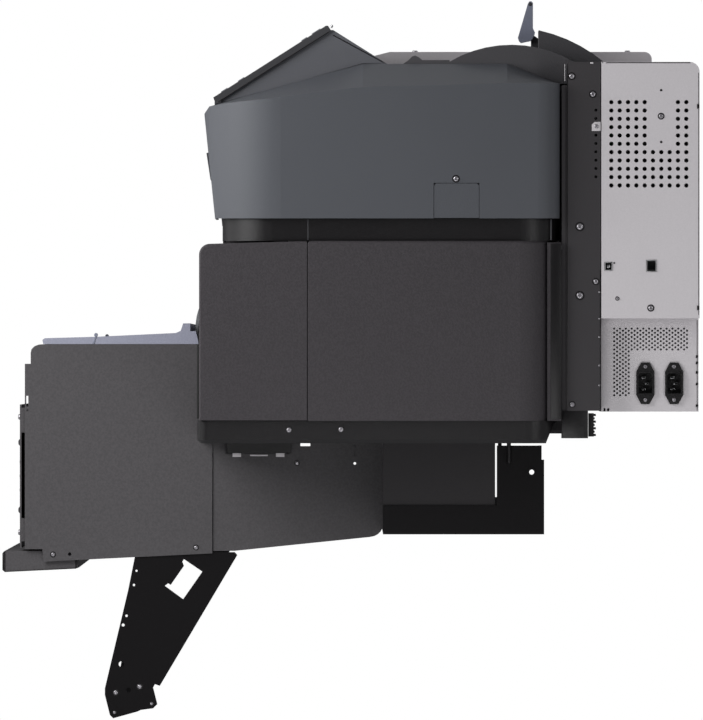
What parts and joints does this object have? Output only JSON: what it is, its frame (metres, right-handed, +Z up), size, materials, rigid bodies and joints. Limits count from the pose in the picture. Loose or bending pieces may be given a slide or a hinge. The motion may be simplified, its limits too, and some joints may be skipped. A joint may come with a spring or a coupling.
{
  "type": "large format plotter",
  "caption": "Wide roll-fed inkjet plotter head unit: hinged front cover, carriage, rollers, corner doors, tilted panel, front dryer with hanging arms, bright rear electronics boxes",
  "frame": {"origin": "middle of the base beam's underside, the face that is bolted to the stand", "axes": "+X along the machine towards the control panel end, -Y to the operator's side, +Z up"},
  "size_m": [2.6232, 0.8417, 0.8695],
  "materials": {
    "black_steel": "black powder coat, fine texture",
    "grey_steel": "mid grey powder coat",
    "panel_grey": "dark warm grey powder coat with a fine grain",
    "dark_sheet": "dark grey powder coat",
    "bright_sheet": "bright coated sheet, satin",
    "black_plastic": "black moulded plastic",
    "grained_cover": "near-black moulded plastic with a fine spark grain",
    "slate_cover": "slate grey moulded plastic with a fine grain",
    "hood_plastic": "dark grey moulded plastic",
    "plate_slate": "light blue slate paint",
    "dark_plastic": "dark moulded plastic",
    "screen_glass": "dark touch screen",
    "key_plastic": "grey key caps",
    "lever_slate": "blue slate paint",
    "board_green": "green circuit board",
    "rail_aluminium": "clear anodised",
    "platen_aluminium": "grey anodised",
    "pulley_aluminium": "machined",
    "head_steel": "ground steel",
    "belt_rubber": "toothed belt",
    "roller_rubber": "rubber roller",
    "window_acrylic": "smoked clear acrylic",
    "heater_quartz": "quartz tube with end holders",
    "screw_steel": "dark zinc"
  },
  "bodies": {
    "frame": {"base_beam": "black_steel", "main_beam": "grey_steel", "rear_brackets": "black_steel", "end_frames": "grey_steel", "lower_side_panels": "panel_grey", "rear_frames": "dark_sheet", "back_panel": "dark_sheet", "top_deck": "bright_sheet", "base_trays": "black_plastic", "lower_covers": "grained_cover", "neck_bands": "black_plastic", "upper_covers": "slate_cover", "service_caps": "slate_cover", "dome_covers": "hood_plastic", "rear_shoulders": "hood_plastic", "panel_housing": "slate_cover", "panel_face": "dark_plastic", "panel_screen": "screen_glass", "electronics_tray": "bright_sheet", "electronics_cover": "bright_sheet", "power_box": "bright_sheet", "ac_inlets": "black_plastic", "connectors": "black_plastic", "fan_frame": "black_plastic", "main_board": "board_green", "power_supply": "bright_sheet", "carriage_rail": "rail_aluminium", "drive_belt": "belt_rubber", "carriage_motor": "black_steel", "platen": "platen_aluminium", "after_platen": "platen_aluminium", "ink_cartridges": "dark_plastic", "dryer_sides": "panel_grey", "dryer_body": "panel_grey", "dryer_hood": "plate_slate", "heater_tubes": "heater_quartz", "front_bar": "panel_grey", "media_arms": "black_steel", "guide_bar": "rail_aluminium", "cover_screws": "screw_steel"},
    "front_cover": {"front_cover": "slate_cover", "front_window": "window_acrylic", "cover_grip": "slate_cover"},
    "carriage": {"carriage": "dark_plastic", "print_heads": "head_steel"},
    "drive_pulley": {"drive_pulley": "pulley_aluminium"},
    "idler_pulley": {"idler_pulley": "pulley_aluminium"},
    "feed_roller": {"feed_roller": "head_steel"},
    "pinch_arms": {"pinch_arms": "grey_steel"},
    "pinch_rollers": {"pinch_rollers": "roller_rubber"},
    "media_lever": {"media_lever": "lever_slate"},
    "front_door_right": {"front_door_right": "grained_cover"},
    "front_door_left": {"front_door_left": "grained_cover"},
    "capping_station": {"capping_station": "dark_plastic"},
    "wiper": {"wiper": "roller_rubber"},
    "key_power": {"key_power": "key_plastic"},
    "key_menu": {"key_menu": "key_plastic"},
    "key_feed": {"key_feed": "key_plastic"},
    "key_enter": {"key_enter": "key_plastic"},
    "fan_rotor": {"fan_rotor": "black_plastic"}
  },
  "joints": [
    {"name": "front_cover_hinge", "type": "hinge", "parent": "frame", "child": "front_cover", "pos_m": [0, -0.116, 0.56], "axis": [1, 0, 0], "range_deg": [-65, 0]},
    {"name": "carriage_slide", "type": "slide", "parent": "frame", "child": "carriage", "axis": [1, 0, 0], "range_m": [-2.1, 0]},
    {"name": "drive_pulley_spin", "type": "hinge", "parent": "frame", "child": "drive_pulley", "pos_m": [1.25, 0.06, 0.53], "axis": [0, 0, 1], "continuous": true},
    {"name": "idler_pulley_spin", "type": "hinge", "parent": "frame", "child": "idler_pulley", "pos_m": [-1.25, 0.06, 0.53], "axis": [0, 0, 1], "continuous": true},
    {"name": "feed_roller_spin", "type": "hinge", "parent": "frame", "child": "feed_roller", "pos_m": [0, 0.062, 0.3435], "axis": [1, 0, 0], "continuous": true},
    {"name": "media_lever_swing", "type": "hinge", "parent": "frame", "child": "media_lever", "pos_m": [0.915, 0.086, 0.572], "axis": [1, 0, 0], "range_deg": [0, 45]},
    {"name": "pinch_arms_lift", "type": "hinge", "parent": "frame", "child": "pinch_arms", "pos_m": [0, 0.104, 0.396], "axis": [1, 0, 0], "range_deg": [-8.1, 0]},
    {"name": "pinch_rollers_spin", "type": "hinge", "parent": "pinch_arms", "child": "pinch_rollers", "pos_m": [0, 0.062, 0.3645], "axis": [1, 0, 0], "continuous": true},
    {"name": "right_door_hinge", "type": "hinge", "parent": "frame", "child": "front_door_right", "pos_m": [1.31, -0.188, 0.245], "axis": [0, 0, 1], "range_deg": [0, 100]},
    {"name": "left_door_hinge", "type": "hinge", "parent": "frame", "child": "front_door_left", "pos_m": [-1.31, -0.188, 0.245], "axis": [0, 0, 1], "range_deg": [-100, 0]},
    {"name": "capping_lift", "type": "slide", "parent": "frame", "child": "capping_station", "axis": [0, 0, 1], "range_m": [-0.008, 0]},
    {"name": "wiper_lift", "type": "slide", "parent": "frame", "child": "wiper", "axis": [0, 0, 1], "range_m": [-0.01, 0]},
    {"name": "fan_spin", "type": "hinge", "parent": "frame", "child": "fan_rotor", "pos_m": [1.269, 0.222, 0.47], "axis": [1, 0, 0], "continuous": true},
    {"name": "key_power_press", "type": "slide", "parent": "frame", "child": "key_power", "axis": [0, 0.5373, -0.8434], "range_m": [0, 0.0011], "stiffness_N_per_m": 1500},
    {"name": "key_menu_press", "type": "slide", "parent": "frame", "child": "key_menu", "axis": [0, 0.5373, -0.8434], "range_m": [0, 0.0011], "stiffness_N_per_m": 1500},
    {"name": "key_feed_press", "type": "slide", "parent": "frame", "child": "key_feed", "axis": [0, 0.5373, -0.8434], "range_m": [0, 0.0011], "stiffness_N_per_m": 1500},
    {"name": "key_enter_press", "type": "slide", "parent": "frame", "child": "key_enter", "axis": [0, 0.5373, -0.8434], "range_m": [0, 0.0011], "stiffness_N_per_m": 1500}
  ],
  "couplings": [
    {"joint": "drive_pulley_spin", "follows": "carriage_slide", "rad_per_m": 78.43},
    {"joint": "idler_pulley_spin", "follows": "carriage_slide", "rad_per_m": 78.43},
    {"joint": "pinch_arms_lift", "follows": "media_lever_swing", "ratio": -0.1778},
    {"joint": "pinch_rollers_spin", "follows": "feed_roller_spin", "ratio": -1.5}
  ]
}
